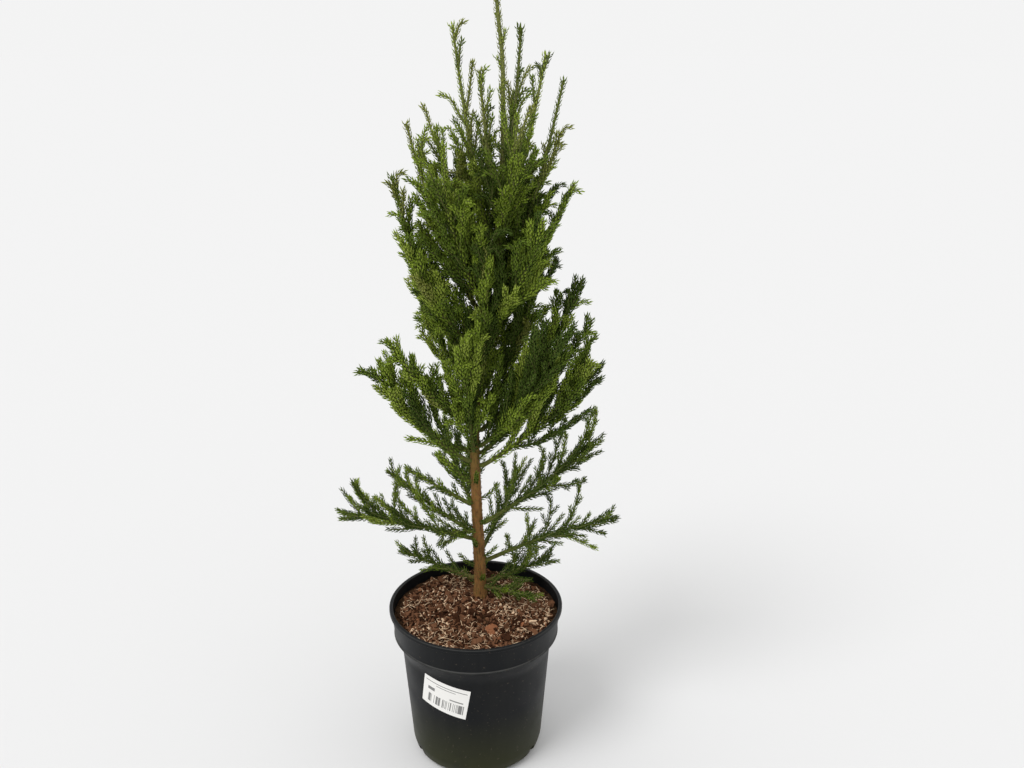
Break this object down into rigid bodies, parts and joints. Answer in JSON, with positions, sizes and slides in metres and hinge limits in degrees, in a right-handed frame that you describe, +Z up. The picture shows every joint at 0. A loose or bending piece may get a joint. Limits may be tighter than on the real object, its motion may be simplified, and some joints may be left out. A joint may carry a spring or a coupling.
{
  "type": "potted japanese cedar",
  "caption": "Young upright conifer with needle-clad, rising shoots on a bare lower trunk, growing in a round black nursery pot of bark mulch.",
  "frame": {"origin": "centre of the pot's flat underside, where it stands on the ground", "axes": "+Z up the trunk; -Y is the front, the side with the white sticker; +X is to the right of the front view"},
  "size_m": [0.306, 0.2292, 0.8113],
  "materials": {
    "black_plastic": "satin",
    "bark_mulch": "matte",
    "paper": "matte",
    "bark": "matte",
    "green_stem": "matte",
    "needles": "matte"
  },
  "bodies": {
    "root": {"arch_right_foliage": "needles", "back_1_bough": "green_stem", "back_1_foliage": "needles", "back_2_bough": "green_stem", "back_2_foliage": "needles", "back_3_bough": "green_stem", "back_3_foliage": "needles", "climb_right_foliage": "needles", "crest_right_foliage": "needles", "fan_right_bough": "green_stem", "fan_right_foliage": "needles", "flank_left_foliage": "needles", "front_high_foliage": "needles", "front_low_foliage": "needles", "growing_mix": "bark_mulch", "inner_left_foliage": "needles", "inner_right_foliage": "needles", "leader_foliage": "needles", "long_left_bough": "green_stem", "long_left_foliage": "needles", "long_right_bough": "green_stem", "long_right_foliage": "needles", "low_front_foliage": "needles", "low_left_bough": "green_stem", "low_left_foliage": "needles", "low_right_bough": "green_stem", "low_right_foliage": "needles", "plume_left_foliage": "needles", "plume_right_foliage": "needles", "pot": "black_plastic", "short_front_foliage": "needles", "short_left_foliage": "needles", "spiral_01_foliage": "needles", "spiral_02_foliage": "needles", "spiral_04_foliage": "needles", "spiral_06_foliage": "needles", "spiral_07_foliage": "needles", "spiral_08_foliage": "needles", "spiral_09_foliage": "needles", "spiral_10_foliage": "needles", "spiral_11_foliage": "needles", "spiral_12_foliage": "needles", "spiral_13_foliage": "needles", "spiral_14_foliage": "needles", "spire_left_foliage": "needles", "spire_right_foliage": "needles", "sticker": "paper", "sweep_left_bough": "green_stem", "sweep_left_foliage": "needles", "sweep_right_bough": "green_stem", "sweep_right_foliage": "needles", "tall_right_foliage": "needles", "top_right_foliage": "needles", "trunk": "bark", "upper_left_bough": "green_stem", "upper_left_foliage": "needles", "whip_left_foliage": "needles"}
  },
  "joints": []
}
